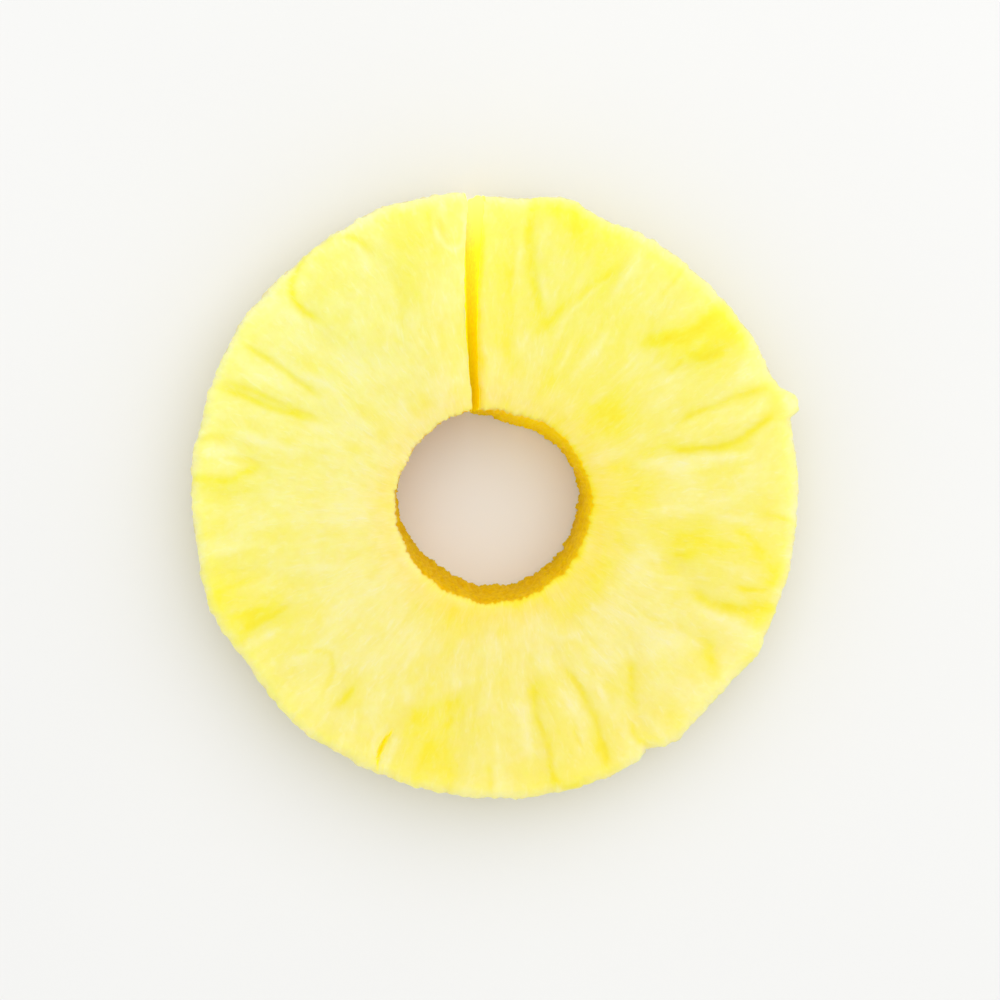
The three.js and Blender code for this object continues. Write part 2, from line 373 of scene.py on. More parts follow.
# %% [markdown]
# ## The relief of the cut face
#
# The knife went through a ring of fruitlets. Each shows as an arch that points at the core, a little
# raised, with a sunken seam along its outline where the flesh is soft and full of juice. Between them run
# pale bundles of fibre. We list the seams as lines of points and the soft places as spots, each with a
# width and a strength, so that one list carves the relief and the same list colours the flesh.

# %% The fruitlets: angle and radius of each middle, half length, half width and turn
fruitlets = [
    (17.8, 34.4, 10.2, 3, 3), (40, 37.5, 8, 4.8, 0), (71.5, 44, 17.8, 7.7, 4), (99.5, 44, 8.2, 2.2, 0),
    (126.3, 34.5, 9, 6.6, 0), (153.7, 44, 16.5, 2.9, 0), (174, 42, 9, 3.8, -12), (203, 44, 12, 5.5, 0),
    (228, 44, 9.5, 5, 0), (254.5, 43, 15, 5.8, 0), (287, 44, 20.5, 4.8, 0), (313, 44, 15, 8.2, -10),
    (344.5, 37, 9.8, 7, 0),
]
print(len(fruitlets), "fruitlets")

# %% The juicy seams: width in mm, strength, then points as angle and radius in mm
juicy_seams = [
    (0.6, 0.75, [(82.4, 46), (82.6, 38.8), (82.1, 35.5), (81, 33), (79.2, 30.4), (77.6, 28.6), (75.2, 26.6)]),
    (0.5, 0.5, [(61.8, 40), (62.4, 36.8), (64.4, 34.4), (66.2, 32.5), (68.1, 30.8), (70, 29), (73.4, 26.4)]),
    (0.9, 0.3, [(75.3, 27), (77.8, 23.8)]),
    (0.7, 0.45, [(86.5, 38), (86, 28), (85.2, 22), (84.2, 17.5)]),
    (0.3, 0.45, [(50.4, 43.6), (50.3, 39), (49.8, 36.5)]),
    (0.85, 0.95, [(47.6, 31), (45.8, 31.2), (44, 32.4), (42, 33.9), (40.3, 36), (39.3, 38.5), (39.6, 46)]),
    (0.6, 0.7, [(37.8, 35.4), (35.8, 35), (33.7, 36), (32.3, 38), (32, 40)]),
    (0.25, 0.6, [(36, 33.8), (35.3, 30.6)]),
    (0.25, 0.35, [(40.6, 32.5), (39.9, 30)]),
    (0.45, 0.6, [(21.3, 43.4), (22.2, 41), (22.3, 37), (22, 34), (22.6, 30), (21.6, 28.4)]),
    (0.5, 0.85, [(17, 42.6), (15, 39.5), (13, 37.5), (12.1, 35), (11.9, 33), (12.6, 30.5), (14, 28),
        (16.2, 25.2)]),
    (0.35, 0.4, [(11, 38.8), (10.8, 36), (11, 33)]),
    (0.3, 0.35, [(103.6, 42.4), (103.5, 38.2)]),
    (0.3, 0.3, [(101.6, 41), (101.2, 38.5)]),
    (0.4, 0.85, [(135.3, 35.5), (136.2, 38.4), (135.6, 40.6), (134, 42.3), (131.5, 43.5), (126.5, 44.3)]),
    (0.35, 0.65, [(126.5, 44.3), (121.8, 44), (119, 42.9), (117.9, 41.4), (117.1, 39)]),
    (0.4, 0.8, [(158.2, 43.2), (158.4, 38), (158.3, 33), (157.6, 28.5)]),
    (0.35, 0.65, [(157.2, 43.2), (156.6, 38), (156.9, 32), (156.6, 27.6)]),
    (0.3, 0.65, [(149, 43.4), (149, 39), (149.3, 36), (149.8, 33), (150.8, 29)]),
    (0.5, 0.7, [(176.8, 46), (176.5, 40), (176.2, 38), (174.8, 36.4), (173.2, 34.5), (172.4, 33.5)]),
    (0.35, 0.5, [(171.4, 40), (171.9, 37), (172.4, 34.5)]),
    (0.35, 0.45, [(169.9, 43.8), (168.2, 42), (168, 39.5)]),
    (0.45, 0.75, [(208.2, 42.6), (207.9, 40), (207.9, 37), (207.7, 33.5)]),
    (0.35, 0.5, [(205, 42.5), (205.6, 39), (206.3, 36)]),
    (0.4, 0.5, [(198.6, 42), (198.9, 38.5), (199.2, 35.5)]),
    (0.3, 0.4, [(201.2, 34.6), (201.6, 32)]),
    (0.35, 0.5, [(232.6, 39.2), (233.3, 36.5), (233.6, 34.4)]),
    (0.3, 0.4, [(228.8, 39.2), (228.4, 36.4), (226.9, 34.4), (223.8, 33), (220, 34.7), (217.6, 37)]),
    (1.1, 0.6, [(249.3, 35.2), (252, 33.4), (255.5, 31.8), (258.6, 30.4), (261.4, 30.6)]),
    (0.45, 0.5, [(256.6, 33.6), (257.6, 34.4), (258.6, 33.4), (258, 32.6)]),
    (0.35, 0.45, [(268.9, 43.2), (268.7, 38.8)]),
    (0.42, 0.62, [(291.2, 43.6), (293, 41.5), (293.6, 38.6), (294, 35), (293.8, 31), (293, 28.6),
        (291.6, 26.6)]),
    (0.45, 0.65, [(289, 44), (283.5, 43.8), (281.6, 42), (281.8, 38.8), (281.6, 35.4), (280.8, 33),
        (280.8, 27.5)]),
    (0.35, 0.6, [(289.4, 39), (288.9, 37), (288.7, 35)]),
    (0.35, 0.6, [(302, 43), (300.6, 41.4), (300.1, 40), (300.9, 38.4)]),
    (0.5, 0.55, [(303.2, 37.4), (304.3, 35.2), (306.6, 33), (308.8, 31.2), (310.8, 29.6)]),
    (0.6, 0.5, [(319.6, 42), (322.4, 39.6), (324.4, 37.8), (326.4, 36.2)]),
    (0.65, 0.8, [(338.6, 46), (337.8, 43.4), (336, 41), (334.9, 39), (334, 36.8), (333.2, 34.6),
        (333.9, 32.4), (335.1, 31)]),
    (0.35, 0.6, [(342.4, 42.8), (340.6, 41), (339.5, 39), (339.1, 36.8)]),
    (0.4, 0.45, [(355, 43.2), (355.6, 41), (356.2, 38.4)]),
    (0.45, 0.5, [(347.4, 40.2), (348.8, 38.6), (350.6, 36.6), (352.6, 35.4)]),
]
print(len(juicy_seams), "juicy seams")

# %% The juicy spots: angle, radius, half length outwards, half width across, and strength
juicy_spots = [
    (72.8, 40.3, 1.7, 1.1, 0.6), (77, 42.6, 1, 3, 0.3), (62.4, 36.6, 1, 0.6, 0.3), (73.6, 26.2, 1, 1.1, 0.35),
    (74.7, 36.8, 0.6, 0.5, 0.25), (70, 34.4, 1, 0.35, 0.2), (81.5, 18.5, 1.5, 1.8, 0.3),
    (64.3, 18.2, 2, 0.8, 0.35), (68, 21.8, 1.6, 0.4, 0.2), (46.4, 31.1, 0.8, 0.8, 0.4),
    (33.2, 37.4, 2, 1.1, 0.5), (48.2, 33.6, 1, 0.9, 0.3), (36, 41.8, 1.1, 3.2, 0.4),
    (46.5, 24.5, 1.3, 0.9, 0.2), (43, 19.2, 2.4, 4, 0.15), (30.8, 20.2, 2.4, 1.9, 0.4),
    (14.4, 22.6, 0.9, 0.8, 0.35), (10.8, 19, 1.6, 1.2, 0.25), (4, 21.6, 1.9, 1.6, 0.25),
    (18, 43.2, 0.8, 1.6, 0.4), (111, 36, 1.6, 0.9, 0.2), (114.4, 32.8, 2, 0.8, 0.3),
    (102, 24, 1.7, 0.5, 0.35), (96.6, 19.6, 1.2, 0.5, 0.4), (130.6, 34, 1.2, 1.2, 0.2),
    (124.7, 30.4, 1, 0.35, 0.2), (143, 32, 1.4, 0.4, 0.2), (145.3, 32.6, 1.2, 0.4, 0.2),
    (139.7, 31.5, 1.6, 0.3, 0.15), (126.9, 17, 1, 0.6, 0.4), (131.9, 17.1, 1, 0.7, 0.25),
    (161.2, 21.4, 1.3, 0.6, 0.4), (146.6, 21.7, 2, 0.6, 0.35), (165, 30.8, 1, 0.4, 0.2), (178, 37, 5, 1, 0.2),
    (206.3, 39.5, 1.5, 0.9, 0.6), (206, 36, 1.6, 0.8, 0.45), (198.5, 42.3, 1.6, 1.6, 0.45),
    (195.6, 40, 2, 0.4, 0.3), (209.4, 42, 0.8, 0.5, 0.45), (187.5, 42, 1.2, 0.4, 0.3),
    (181.3, 39.2, 1.2, 0.4, 0.35), (185.6, 39.8, 1, 0.4, 0.25), (207.5, 27.6, 0.9, 0.5, 0.3),
    (234.4, 21.8, 1.2, 0.5, 0.2), (192.5, 23.5, 1, 0.6, 0.3), (212, 20.8, 1.4, 0.4, 0.2),
    (195, 19.2, 1.3, 0.8, 0.2), (233.4, 36, 1, 0.5, 0.3), (256.5, 38, 3.2, 2.8, 0.4),
    (255, 37.4, 1.5, 0.8, 0.5), (250.8, 30, 0.8, 0.5, 0.4), (261, 40.5, 1.6, 0.7, 0.2),
    (249.5, 18.6, 1.8, 2.8, 0.55), (264, 18.5, 1.2, 1.2, 0.2), (292.3, 39.8, 1.4, 0.8, 0.5),
    (281.9, 28.8, 1.2, 0.9, 0.45), (285, 35, 5, 2, 0.2), (322.8, 38.6, 1.5, 0.9, 0.35),
    (324.7, 33, 1, 0.4, 0.2), (315, 34.4, 1.2, 0.6, 0.25), (335.8, 41.8, 2, 1.5, 0.6),
    (344.6, 41.8, 1.2, 1.5, 0.85), (347, 39.5, 1, 0.5, 0.35), (346.5, 34, 3.4, 2, 0.35),
    (350, 30.4, 1.1, 1.4, 0.5), (344.5, 27.6, 1.5, 2.4, 0.45), (349.4, 24.3, 1, 0.6, 0.3),
    (345, 23.5, 1, 0.6, 0.25), (331, 19.3, 1.6, 1.5, 0.35), (323, 19, 1.3, 1.4, 0.5),
    (317.5, 20, 0.8, 0.4, 0.4), (305, 19.8, 1.3, 3.4, 0.35), (273.5, 19.8, 0.8, 0.8, 0.3),
    (327, 44.2, 0.6, 1.3, 0.45), (350, 18.5, 1.8, 4, 0.2), (65, 28, 9, 13, 0.17), (40, 24, 7, 8, 0.1),
    (86, 26, 9, 4, 0.12), (5, 20, 5, 7, 0.13), (285, 17, 2, 8, 0.15),
]
print(len(juicy_spots), "juicy spots")

# %% Broad soft areas, where juice has gathered inside a fruitlet or beside the core
juicy_areas = [
    (70, 40.5, 3, 5, 0.42), (63, 38, 3, 1.5, 0.25), (67, 38, 3, 1.5, 0.3), (82, 41, 4, 1, 0.3),
    (36, 40, 4, 2.5, 0.5), (37.5, 35.5, 2.5, 2, 0.35), (89, 34, 7, 1.5, 0.25), (30, 20.5, 3.5, 3, 0.25),
    (40, 20.5, 2.5, 4, 0.2), (48, 20, 3, 3, 0.25), (65, 20, 3.5, 3, 0.25), (14.5, 23.5, 1.8, 1, 0.3),
    (6, 19.5, 2.5, 3, 0.22), (108, 38, 3.5, 2.5, 0.42), (178, 40, 2.5, 1.5, 0.45), (199, 41, 2, 2, 0.3),
    (200.5, 39.5, 4.5, 3, 0.35), (206.5, 38, 3, 1.5, 0.25), (256, 36, 5.5, 4, 0.35),
    (346.5, 32.5, 5.5, 3.2, 0.34), (349.5, 30.4, 1.2, 1.8, 0.3), (287, 40.5, 4, 3.2, 0.42),
    (283.5, 29.5, 1.8, 1.5, 0.3), (322, 19.5, 2, 1.8, 0.35), (306, 18, 2.5, 3, 0.25),
    (352, 18.5, 2.5, 4, 0.2),
]
print(len(juicy_areas), "juicy areas")

# %% The pale fibre bundles: width in mm, strength, then points as angle and radius in mm
pale_bundles = [
    (0.4, 0.5, [(84.4, 38), (84.4, 33.4), (84.9, 29)]), (0.5, 0.4, [(78.8, 42.6), (79.3, 38), (79.6, 34)]),
    (0.4, 0.5, [(78.6, 33.4), (77, 30.6), (75.8, 28.6)]), (0.35, 0.5, [(76.3, 25.6), (78.4, 24), (80, 21.6)]),
    (0.5, 0.5, [(58.6, 42), (59, 38), (59.6, 33)]), (0.4, 0.5, [(67.8, 29), (68.5, 25), (69.2, 21.5)]),
    (0.2, 0.5, [(68.7, 27.5), (65.6, 31.2), (61.9, 36.1)]), (0.2, 0.4, [(45.9, 19.9), (44.5, 29.3)]),
    (0.3, 0.55, [(62.8, 25), (63.4, 22), (63.8, 20)]), (0.6, 0.6, [(55.2, 29), (55.8, 24), (56.8, 18.6)]),
    (0.35, 0.6, [(43.8, 22.4), (45, 18.8)]), (0.3, 0.4, [(38.7, 31.8), (38.4, 29)]),
    (0.3, 0.4, [(37, 38.5), (37.4, 36)]), (0.45, 0.5, [(33.4, 34), (34, 30), (34.2, 27.5)]),
    (0.9, 0.7, [(8.6, 30), (9, 26.8), (10.8, 24.4), (13, 21.8), (16.5, 20)]),
    (0.5, 0.35, [(9.2, 39), (9.2, 34), (9, 30)]), (0.4, 0.5, [(19.6, 42), (18.6, 40), (17.6, 37)]),
    (0.28, 0.7, [(102.8, 40.4), (102.2, 38), (101, 36.4), (99.6, 36), (97.8, 36.6), (96.6, 39), (96.2, 43)]),
    (0.5, 0.6, [(139.3, 43.6), (138.6, 40), (137.9, 37)]),
    (0.35, 0.5, [(119.3, 42), (119, 39.6), (119.3, 37)]),
    (0.35, 0.6, [(147, 33.4), (147.2, 29), (148.2, 25)]), (0.5, 0.45, [(152.6, 41), (152.8, 37), (153, 33)]),
    (0.45, 0.5, [(159.9, 29.4), (159, 27), (157.2, 24.6)]), (0.4, 0.45, [(146, 42), (147, 37)]),
    (0.55, 0.75, [(171.8, 43), (171, 40.6), (170.9, 38.2)]), (0.4, 0.4, [(166.4, 40), (167, 34), (167, 28)]),
    (0.4, 0.5, [(248.3, 43), (247.8, 40), (248, 37)]),
    (0.35, 0.45, [(244.2, 42.5), (243.8, 39), (244.6, 36)]),
    (0.5, 0.55, [(211.6, 43.6), (211.4, 40), (211.4, 36)]),
    (0.5, 0.55, [(191.7, 42), (191.4, 38), (191.2, 34)]),
    (0.5, 0.55, [(247.2, 32.6), (245.6, 31.4), (243.8, 30)]),
    (0.5, 0.5, [(240.2, 29.4), (241.6, 27), (243.6, 24)]), (0.3, 0.45, [(232.8, 32), (232.7, 28)]),
    (0.4, 0.5, [(199.8, 32.6), (200.5, 31), (202.3, 27), (204, 25)]),
    (0.35, 0.75, [(298.2, 34), (298.6, 32), (298.9, 30)]),
    (0.35, 0.5, [(290.4, 34), (289.2, 31), (287.6, 29)]),
    (0.5, 0.5, [(277.8, 39), (277.4, 34), (276.8, 30.4)]),
    (0.35, 0.5, [(312.4, 29), (310.6, 30.4), (309.2, 31.6)]),
    (0.6, 0.6, [(331.4, 41.4), (331.7, 38), (331.4, 33)]),
    (0.45, 0.5, [(342.8, 40), (342.9, 36), (343.2, 31)]), (0.25, 0.5, [(343.9, 28.8), (343.3, 26.8)]),
    (0.3, 0.45, [(335.8, 29.6), (333.8, 26), (332.4, 24)]),
    (0.45, 0.45, [(354.6, 38), (354.2, 35), (355.4, 31)]),
    (0.4, 0.5, [(293, 22.4), (299, 23.2), (304, 23.8)]), (0.35, 0.4, [(341, 23), (338.8, 25), (336, 26.4)]),
    (0.35, 0.35, [(214, 30), (217, 24), (219, 20)]),
]
print(len(pale_bundles), "pale bundles")

# %% The pale spots: angle, radius, half length outwards, half width across, and strength
pale_spots = [
    (75.4, 29.2, 1.4, 0.9, 0.45), (76.6, 25.8, 0.6, 0.6, 0.4), (74.8, 20.4, 2.2, 2.4, 0.4),
    (60, 17.3, 1.5, 1.8, 0.3), (52.6, 16.6, 1.2, 1.4, 0.4), (88, 18.5, 1.6, 1.6, 0.4),
    (28.4, 42.4, 1.4, 1.2, 0.3), (25, 40, 3.2, 1.6, 0.3), (23.4, 22.8, 1, 1, 0.6), (20.6, 17.8, 2, 1.5, 0.55),
    (24, 28, 1.4, 1.4, 0.25), (40, 27.5, 2, 2.4, 0.3), (100.4, 43.2, 0.8, 0.6, 0.8),
    (128.5, 43, 0.7, 0.7, 0.65), (156.5, 24, 1.2, 1.8, 0.35), (113, 17.6, 1, 1.6, 0.35),
    (104, 29, 2, 1.2, 0.3), (140, 19, 1.6, 2.4, 0.25), (151.5, 42, 1, 0.6, 0.3), (171.2, 39.6, 1.6, 0.9, 0.4),
    (259.4, 27.6, 1, 1.2, 0.35), (266.8, 36.4, 1.6, 1, 0.3), (252.5, 16.2, 0.5, 0.6, 0.5),
    (200, 31.4, 0.9, 0.5, 0.4), (222, 42, 2, 2.4, 0.25), (205, 23, 2.6, 3.6, 0.3), (221, 23.5, 2.6, 2, 0.25),
    (276.9, 31.2, 1, 1, 0.4), (303.8, 29, 1.3, 1.1, 0.4), (287.5, 25.4, 1.2, 1.4, 0.4),
    (296.3, 43.2, 0.8, 0.9, 0.45), (270.6, 40, 2, 1, 0.3), (282.4, 39.6, 0.5, 0.3, 0.4),
    (285.6, 19.8, 2.2, 2.6, 0.4), (318.5, 32.6, 2.4, 1.6, 0.35), (321.4, 43, 1, 1, 0.5),
    (336.3, 22.8, 1.6, 2.4, 0.45), (320, 23.4, 2, 2, 0.3), (354.6, 36.8, 1.4, 0.8, 0.3),
    (357, 30, 4, 1.4, 0.3), (140, 32, 14, 15, 0.34), (225, 24, 7, 8, 0.2), (190, 36, 7, 4, 0.12),
    (290, 36, 6, 5, 0.12), (303, 20, 4, 3, 0.15), (17.2, 45.2, 0.9, 1.5, 0.9), (237, 27, 3, 4, 0.2),
    (187, 22, 3, 3, 0.25), (331.5, 42.6, 1.2, 0.9, 0.35), (6, 43, 1, 1.2, 0.25), (316, 30, 7, 3, 0.35),
    (140, 43.5, 1, 1.5, 0.5), (88, 43.5, 1.5, 2, 0.6), (53, 24, 5, 1.5, 0.25), (320, 42.5, 1.5, 3, 0.35),
    (290, 30, 3, 1.2, 0.3),
]
print(len(pale_spots), "pale spots")

# %% [markdown]
# Now each point of the flesh asks how near it is to a line or a spot. The answer fades softly with
# distance, and lines also fade at their ends, because in fruit nothing stops at once. A little wobble,
# added to the points first, keeps the lines from looking drawn.

# %% How strongly lines and spots cover each point of the flesh
wobble, wobble_width = 0.22, 2.2
here = plan + wobble * np.stack([lumps(*(plan.T / wobble_width), seed) for seed in (11, 12)], 1)
radius = np.hypot(plan[:, 0], plan[:, 1])


def line_cover(width, line):
    """1 on the line, 0 well away from it, and less towards the line's ends."""
    corners = [on_face(*corner) for corner in line]
    length = sum(np.linalg.norm(b - a) for a, b in zip(corners, corners[1:]))
    nearest, place, start = np.full(len(here), 1e9), np.zeros(len(here)), 0.0
    for a, b in zip(corners, corners[1:]):
        step = np.linalg.norm(b - a)
        along = np.clip((here - a) @ (b - a) / step ** 2, 0, 1)
        distance = np.hypot(*(here - a - along[:, None] * (b - a)).T)
        closer = distance < nearest
        place = np.where(closer, start + along * step, place)
        nearest = np.minimum(nearest, distance)
        start += step
    fade = min(2.5, 0.3 * length)
    ends = ease(place, -0.4 * fade, fade) * ease(length - place, -0.4 * fade, fade)
    return hump(nearest, width) * ends


def spot_cover(angle, distance, outwards, across):
    """1 in the middle of the spot and 0 well away from it."""
    away = here - on_face(angle, distance)
    out = away @ on_face(angle, 1)
    side = away @ on_face(angle + 90, 1)
    return np.exp(-0.5 * ((out / outwards) ** 2 + (side / across) ** 2))


def cover(lines, spots):
    """Lines and spots together, never above 1."""
    clear = np.ones(len(here))
    for width, strength, line in lines:
        clear *= 1 - strength * line_cover(width, line)
    for angle, distance, outwards, across, strength in spots:
        clear *= 1 - strength * spot_cover(angle, distance, outwards, across)
    return 1 - clear


on_top = ease(upward, 0.72, 0.97)
seams = cover(juicy_seams, [])
juicy_and_painted_shade = cover(juicy_seams, juicy_spots + juicy_areas)
pale = cover(pale_bundles, pale_spots)
print(f"covered: {100 * (juicy_and_painted_shade > 0.3).mean():.0f}% juicy, {100 * (pale > 0.3).mean():.0f}% pale")

# %% [markdown]
# The fibres run out from the core. Near the core they are short and matted, and further out they gather
# into long bundles with fine threads between them. A slow sideways drift bends them a little round the
# fruitlets.

# %% Lay the fibres: bundles, threads and the matted flesh round the core
fibre_angle = mix(hole_angle, rim_angle, np.clip(outward, 0, 1))
drift = 1.7 * lumps(fibre_angle / 13, radius / 9, 7) * ease(radius, 16, 26)
bundles = lumps((fibre_angle + drift) / 2.7, radius / 6, 8)
threads = lumps((fibre_angle + drift) / 1.3, radius / 2.6, 9)
matted = 0.6 * lumps(plan[:, 0] / 1.5, plan[:, 1] / 1.5, 10)
matted = matted + 0.4 * lumps(plan[:, 0] / 0.7, plan[:, 1] / 0.7, 13)
near_core = 1 - ease(radius, 16, 27)
fibres = mix(0.55 * bundles + 0.45 * threads, matted, near_core)
print(f"fibres between {fibres.min():.2f} and {fibres.max():.2f}")

# %% Raise the fruitlets and sink the flesh round them, by heights and depths in mm
relief_of = {
    "crown": 0.3, "valley": 0.16, "bundle": 0.08, "seam": 0.12, "fibres": 0.04, "matted": 0.04,
    "hole_edge": 0.25, "rim_edge": 0.2,
}
crowns_and_valleys = np.zeros(len(plan))
for at, middle_radius, reach, width, turn in fruitlets:
    away = plan - on_face(at, middle_radius)
    along = np.abs(away @ on_face(at + turn, 1)) / reach
    across = np.abs(away @ on_face(at + turn + 90, 1)) / width
    size = (along ** 1.7 + across ** 1.7) ** (1 / 1.7)
    crowns_and_valleys += relief_of["crown"] * np.maximum(0, 1 - size ** 2)
    crowns_and_valleys -= relief_of["valley"] * hump((size - 1) * width, 1.1)
print(f"fruitlets: {crowns_and_valleys.max():.2f} mm up, {-crowns_and_valleys.min():.2f} mm down round them")

# %% Add seams, bundles, fibres, slow waves and worn edges
slow_waves = [(5, 0.22), (29, 0.1), (67, 0.06)]      # waves to a full turn, and their height in mm
face_angle = np.degrees(np.arctan2(plan[:, 1], plan[:, 0]))
relief = crowns_and_valleys * ease(radius, 18, 28)
relief += sum(wave(face_angle, count, wave_height) for count, wave_height in slow_waves)
relief += relief_of["bundle"] * pale - relief_of["seam"] * seams
relief += relief_of["fibres"] * fibres + relief_of["matted"] * matted * near_core
relief -= relief_of["hole_edge"] * (1 - ease(radius - hole, 0, 1.6)) * (0.5 + 0.5 * matted)
relief -= relief_of["rim_edge"] * ease(outward, 0.95, 1) * (0.5 + 0.5 * lumps(rim_angle / 2.3, upward, 14))
print(f"relief between {relief.min():.2f} and {relief.max():.2f} mm")

# %% [markdown]
# One crevice is deeper than the seams. It is a narrow crescent near the rim, where two fruitlets came
# apart.

# %% Open the crevice
crevice = {"from": (-14.6, -33.7), "to": (-17.2, -39.7), "bow": 0.7, "width": 0.5, "depth": 1.4}
start, end = np.array(crevice["from"]), np.array(crevice["to"])
length = np.linalg.norm(end - start)
sideways = np.array([end[1] - start[1], start[0] - end[0]]) / length
share = np.clip((plan - start) @ (end - start) / length ** 2, 0, 1)
offset = (plan - start) @ sideways - 4 * share * (1 - share) * crevice["bow"]
gape = 2 * share * (1 - share) * crevice["width"]
opened = ease(gape + 0.12 - np.abs(offset), 0, 0.24) * (gape > 0.02)
crevice_depth = crevice["depth"] * opened * ease(gape, 0, 0.35)
relief -= crevice_depth
print(f"crevice: {(crevice_depth * on_top).max():.1f} mm deep")

# %% Move every point of the blank to its place in the slice
height = upward * thickness + (lip_rise + relief) * ease(upward, 0.45, 1)
shift = np.array([-0.0839, 0.0516])          # centres the slice on the frame's axis
flesh_points = np.column_stack([plan + shift, height])
flesh_points[:, 2] = np.where(upward < tiny, 0, flesh_points[:, 2])
lowest, highest = (np.array(corner) / MM for corner in frame_box)
outside = np.maximum(lowest - flesh_points, flesh_points - highest).max()
flesh_points = np.clip(flesh_points, lowest, highest)
ring_flesh.data.vertices.foreach_set("co", (flesh_points * MM).ravel())
ring_flesh.data.update()
print(f"slice shaped; {max(outside, 0):.2f} mm trimmed to the frame's box")

# %% Shade it smooth, except over sharp edges
sharpest_smooth_edge = radians(55)
only(ring_flesh)
bpy.ops.object.shade_smooth_by_angle(angle=sharpest_smooth_edge)
print("smooth up to", round(np.degrees(sharpest_smooth_edge)), "degrees")

# %% [markdown]
# ## The look of the flesh
#
# Wet pineapple is not one yellow. The fibre bundles are pale cream, the flesh is lemon yellow, and the
# juicy seams are a deep golden yellow, because light goes further into them before it comes back. So the
# lists that shaped the slice are kept on its points as attributes, and the material mixes its colours by
# them, along with painted light and shade. The walls of the hole and the cut are golden, partly by painted
# shade. In the hole the gold ends just under the top edge, and a little lower on the side that is turned away
# from the camera. Painted light makes it brightest on the side nearest the light, where real light would come
# through the flesh.

# %% Where the golden walls are, and how the light falls on them
def facing(angle, way):
    """1 for flesh that lies this way from the middle, and -1 for flesh on the opposite side."""
    return np.cos(np.radians(angle - way))


wall_edge = 0.012
turned_away = ease(facing(hole_angle, 130), 0, 0.9)
flesh_begins = ease(upward, 0.965 - 0.11 * turned_away, 1 - 0.08 * turned_away)
flesh_begins = mix(ease(upward, 0.93, 0.98), flesh_begins, mix(1, 0.4, turned_away))
hole_wall = np.clip(1 - outward / wall_edge, 0, 1) * (1 - flesh_begins)
lip_face = ((around < tiny) | (around > 1 - tiny)) * (upward < 0.99)
# Painted light and shade on the hole's wall: brighter on the sides nearest the light, lighter towards the top
# and darker towards the foot.
lit_side = hump(turn_between(55, hole_angle), 34)
half_lit = 0.35 * hump(turn_between(335, hole_angle), 30) + 0.15 * hump(turn_between(265, hole_angle), 30)
painted_shade_at_foot = (0.2 + 0.6 * np.maximum(0, facing(hole_angle, 10))) * (upward - 0.5)
painted_light_on_hole_wall = 0.05 + lit_side + half_lit + painted_shade_at_foot
lip_light = lip_face * (0.19 + 0.75 * np.clip(outward, 0, 1))
print(f"golden walls: {100 * (np.maximum(hole_wall, lip_face) > 0.5).mean():.0f}% of the points")

# %% Where the flesh is warmer, paler or more lemon, and where light and shade are painted on it
from_hole = np.maximum(outward, 0) * flesh_width
near_hole = (0.5 * hump(from_hole, 2) + hump(from_hole, 0.45)) * (0.5 + 0.5 * facing(fibre_angle, -20))
# Painted shade: deeper gold on the right lip's top next to the cut, where the higher left lip shades it.
painted_shade_by_left_lip = 0.9 * hump(from_right, 0.7) * ease(0.96 - outward, 0, 0.2)
# Paler towards the rim, and paler still on the side towards the light, which is painted light.
pale_rim_and_painted_light = ease(outward, 0.94, 1) * (0.6 + 0.25 * facing(rim_angle, 80))
# Painted light: the lemon tint is strongest on the side towards the light; it also grows towards the rim and
# falls off near the hole.
lemon_and_painted_light = 0.3 + 0.35 * outward + 0.32 * radius / ring_radius * facing(face_angle, 105)
lemon_and_painted_light -= 0.35 * hump(from_hole, 2.2)
print(f"lemon between {lemon_and_painted_light.min():.2f} and {lemon_and_painted_light.max():.2f}")

# %% Keep what the flesh is like at each point, for the material to read
keep = {
    # The juicy amount also carries the painted shade beside the cut.
    "juicy_and_painted_shade": np.maximum(juicy_and_painted_shade, painted_shade_by_left_lip) * on_top,
    "pale": np.maximum(pale, pale_rim_and_painted_light) * on_top,
    "fibres": 0.5 + 0.5 * fibres * on_top,
    "inner_wall": np.maximum(hole_wall, lip_face),
    "lit_through": np.maximum.reduce([lip_light, 0.07 * hole_wall * lit_side, 0.3 * opened * on_top]),
    # On the faces of the cut this is painted light, brighter towards the top; in the hole it is the painted
    # light and shade from above.
    "wall_painted_light_and_shade": np.where(lip_face > 0, 0.7 * upward, painted_light_on_hole_wall),
    "near_hole": near_hole,
    "opened": opened * on_top,
    "lemon_and_painted_light": lemon_and_painted_light * on_top,
}
for name, values in keep.items():
    attribute = ring_flesh.data.attributes.new(name=name, type="FLOAT", domain="POINT")
    attribute.data.foreach_set("value", values.astype(np.float32))
grain = ring_flesh.data.attributes.new(name="grain", type="FLOAT_VECTOR", domain="POINT")
along_the_fibres = np.stack([fibre_angle + drift, radius, height], 1)
grain.data.foreach_set("vector", along_the_fibres.astype(np.float32).ravel())
print("kept on the flesh:", ", ".join(keep), "and grain")

# %% [markdown]
# The finest fibres are too thin for the mesh, so a node group draws them. It reads the grain attribute,
# which holds each point's angle, distance and height, so that its noise stretches along the fibres and not
# across them. Straight threads, slanting pale wisps and broad clouds each come in by a named amount, and
# together they say how much paler or deeper than plain flesh a point is. A second output is the height for
# the bump.

# %% Helpers for nodes
def add_node(tree, kind, x, y, **settings):
    """A node of this kind, placed and set."""
    node = tree.nodes.new(kind)
    node.location = (x, y)
    for name, value in settings.items():
        setattr(node, name, value)
    return node


def set_inputs(node, **values):
    """Sets a node's inputs by name."""
    for name, value in values.items():
        node.inputs[name].default_value = value


def feed(tree, value, socket):
    """Links an output to the socket, or sets the socket to a plain value."""
    if isinstance(value, bpy.types.NodeSocket):
        tree.links.new(value, socket)
    else:
        socket.default_value = value


